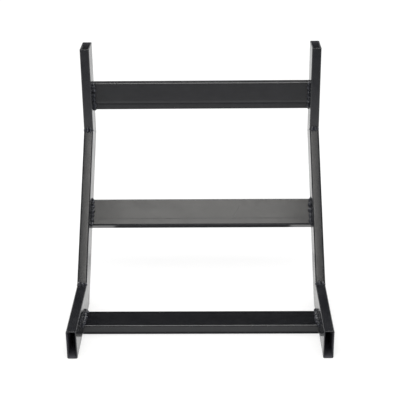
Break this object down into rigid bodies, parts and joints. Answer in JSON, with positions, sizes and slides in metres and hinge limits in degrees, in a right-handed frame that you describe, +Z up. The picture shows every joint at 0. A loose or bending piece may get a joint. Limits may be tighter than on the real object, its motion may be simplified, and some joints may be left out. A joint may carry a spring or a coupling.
{
  "type": "dumbbell rack",
  "caption": "Welded dumbbell rack frame of flat rectangular tube: side frames bent from flat feet through a slope to upright posts, tied by flat cross rails.",
  "frame": {"origin": "on the floor, at the middle of the frame's outline", "axes": "+X to the right along the cross rails, +Y from the feet's open ends to the wall behind the posts, +Z up"},
  "size_m": [0.51, 0.4948, 0.4878],
  "materials": {
    "black_painted_tube": "satin black paint over steel tube, with a soft sheen",
    "black_painted_weld": "satin black paint over rippled weld beads"
  },
  "bodies": {
    "root": {"left_foot_tube": "black_painted_tube", "left_slope_tube": "black_painted_tube", "left_post_tube": "black_painted_tube", "right_foot_tube": "black_painted_tube", "right_slope_tube": "black_painted_tube", "right_post_tube": "black_painted_tube", "lower_rail": "black_painted_tube", "middle_rail": "black_painted_tube", "upper_rail": "black_painted_tube", "lower_rail_left_inner_weld": "black_painted_weld", "lower_rail_left_seam_weld": "black_painted_weld", "lower_rail_right_inner_weld": "black_painted_weld", "lower_rail_right_seam_weld": "black_painted_weld", "middle_rail_left_inner_weld": "black_painted_weld", "middle_rail_left_seam_weld": "black_painted_weld", "middle_rail_right_inner_weld": "black_painted_weld", "middle_rail_right_seam_weld": "black_painted_weld", "upper_rail_left_inner_weld": "black_painted_weld", "upper_rail_left_seam_weld": "black_painted_weld", "upper_rail_right_inner_weld": "black_painted_weld", "upper_rail_right_seam_weld": "black_painted_weld", "left_lower_bend_inner_weld": "black_painted_weld", "left_lower_bend_outer_weld": "black_painted_weld", "left_upper_bend_inner_weld": "black_painted_weld", "left_upper_bend_outer_weld": "black_painted_weld", "right_lower_bend_inner_weld": "black_painted_weld", "right_lower_bend_outer_weld": "black_painted_weld", "right_upper_bend_inner_weld": "black_painted_weld", "right_upper_bend_outer_weld": "black_painted_weld"}
  },
  "joints": []
}
